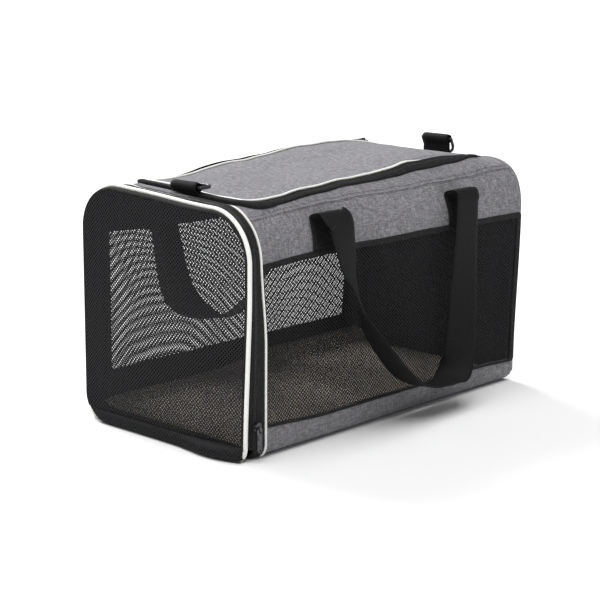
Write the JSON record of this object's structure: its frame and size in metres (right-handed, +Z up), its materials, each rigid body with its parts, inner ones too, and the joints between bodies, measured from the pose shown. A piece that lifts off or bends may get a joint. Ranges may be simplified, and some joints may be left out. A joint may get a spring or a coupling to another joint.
{
  "type": "pet carrier bag",
  "caption": "Soft-sided pet carrier bag with a zipped mesh door, a zipped roof flap, mesh windows, folding webbing handles and strap rings.",
  "frame": {"origin": "on the underside of the base panel, at the middle of the shell's length and width", "axes": "+X runs along the bag from the mesh door to the closed rear panel, +Y to the side away from the viewer, +Z up"},
  "size_m": [0.4878, 0.3195, 0.3045],
  "materials": {
    "heather_fabric": "heathered woven polyester",
    "black_fabric": "matt woven lining and binding",
    "mesh_fabric": "open knitted mesh",
    "white_piping": "smooth satin piping",
    "zip_coil": "nylon coil on woven tape",
    "webbing": "ribbed polyester webbing",
    "ring_plastic": "moulded satin black",
    "zip_metal": "black lacquer worn bright on the edges",
    "spring_wire": "spring steel wire",
    "fleece": "short plush pile",
    "board": "fabric-covered stiff board"
  },
  "bodies": {
    "root": {"base_panel": "black_fabric", "lower_band_near": "heather_fabric", "lower_band_far": "heather_fabric", "base_board": "board", "floor_pad": "fleece", "side_mesh_near": "mesh_fabric", "side_mesh_far": "mesh_fabric", "window_binding_near": "black_fabric", "window_binding_far": "black_fabric", "upper_band_near": "heather_fabric", "upper_band_far": "heather_fabric", "roof_front": "heather_fabric", "roof_strip_near": "heather_fabric", "roof_strip_far": "heather_fabric", "roof_rear": "heather_fabric", "roof_zip_half": "zip_coil", "zip_end_near": "black_fabric", "zip_end_far": "black_fabric", "rear_panel": "heather_fabric", "rear_lining": "black_fabric", "rear_binding": "heather_fabric", "rear_hoop": "spring_wire", "front_collar": "black_fabric", "body_zip_half": "zip_coil", "body_piping": "white_piping", "front_hoop": "spring_wire", "door_sill": "black_fabric", "anchor_near_front": "webbing", "anchor_near_rear": "webbing", "anchor_far_front": "webbing", "anchor_far_rear": "webbing", "loop_front": "webbing", "loop_rear": "webbing"},
    "door": {"door_rim": "black_fabric", "door_side_tape": "black_fabric", "door_mesh": "mesh_fabric", "door_zip_half": "zip_coil", "door_piping": "white_piping", "door_hoop": "spring_wire"},
    "flap": {"flap_panel": "heather_fabric", "flap_zip_half": "zip_coil", "flap_piping": "white_piping"},
    "handle_near": {"handle_near": "webbing"},
    "handle_far": {"handle_far": "webbing"},
    "ring_front": {"d_ring_front": "ring_plastic"},
    "ring_rear": {"d_ring_rear": "ring_plastic"},
    "door_slider": {"door_slider": "zip_metal"},
    "door_pull": {"door_pull": "zip_metal"},
    "flap_slider": {"flap_slider": "zip_metal"},
    "flap_pull": {"flap_pull": "zip_metal"}
  },
  "joints": [
    {"name": "door_hinge", "type": "hinge", "parent": "root", "child": "door", "pos_m": [-0.24, 0, 0.012], "axis": [0, -1, 0], "range_deg": [0, 90]},
    {"name": "flap_hinge", "type": "hinge", "parent": "root", "child": "flap", "pos_m": [0.206, 0, 0.276], "axis": [0, 1, 0], "range_deg": [0, 115]},
    {"name": "handle_near_swing", "type": "hinge", "parent": "root", "child": "handle_near", "pos_m": [0, -0.133, 0.25], "axis": [-1, 0, 0], "range_deg": [0, 165]},
    {"name": "handle_far_swing", "type": "hinge", "parent": "root", "child": "handle_far", "pos_m": [0, 0.133, 0.25], "axis": [1, 0, 0], "range_deg": [0, 165]},
    {"name": "ring_front_swing", "type": "hinge", "parent": "root", "child": "ring_front", "pos_m": [-0.204, 0, 0.2811], "axis": [0, -1, 0], "range_deg": [0, 170]},
    {"name": "ring_rear_swing", "type": "hinge", "parent": "root", "child": "ring_rear", "pos_m": [0.237, 0, 0.298], "axis": [0, -1, 0], "range_deg": [0, 150]},
    {"name": "door_zip_slide", "type": "slide", "parent": "root", "child": "door_slider", "axis": [0, 0, 1], "range_m": [0, 0.165]},
    {"name": "door_pull_swing", "type": "hinge", "parent": "door_slider", "child": "door_pull", "pos_m": [-0.2252, -0.1335, 0.037], "axis": [-1, 0, 0], "range_deg": [0, 150]},
    {"name": "flap_zip_slide", "type": "slide", "parent": "flap", "child": "flap_slider", "axis": [-0.9994, 0.0347, -0.0055], "range_m": [0, 0.29]},
    {"name": "flap_pull_swing", "type": "hinge", "parent": "flap_slider", "child": "flap_pull", "pos_m": [0.189, 0.08309, 0.2788], "axis": [0.0347, 0.9994, 0], "range_deg": [0, 90]}
  ]
}
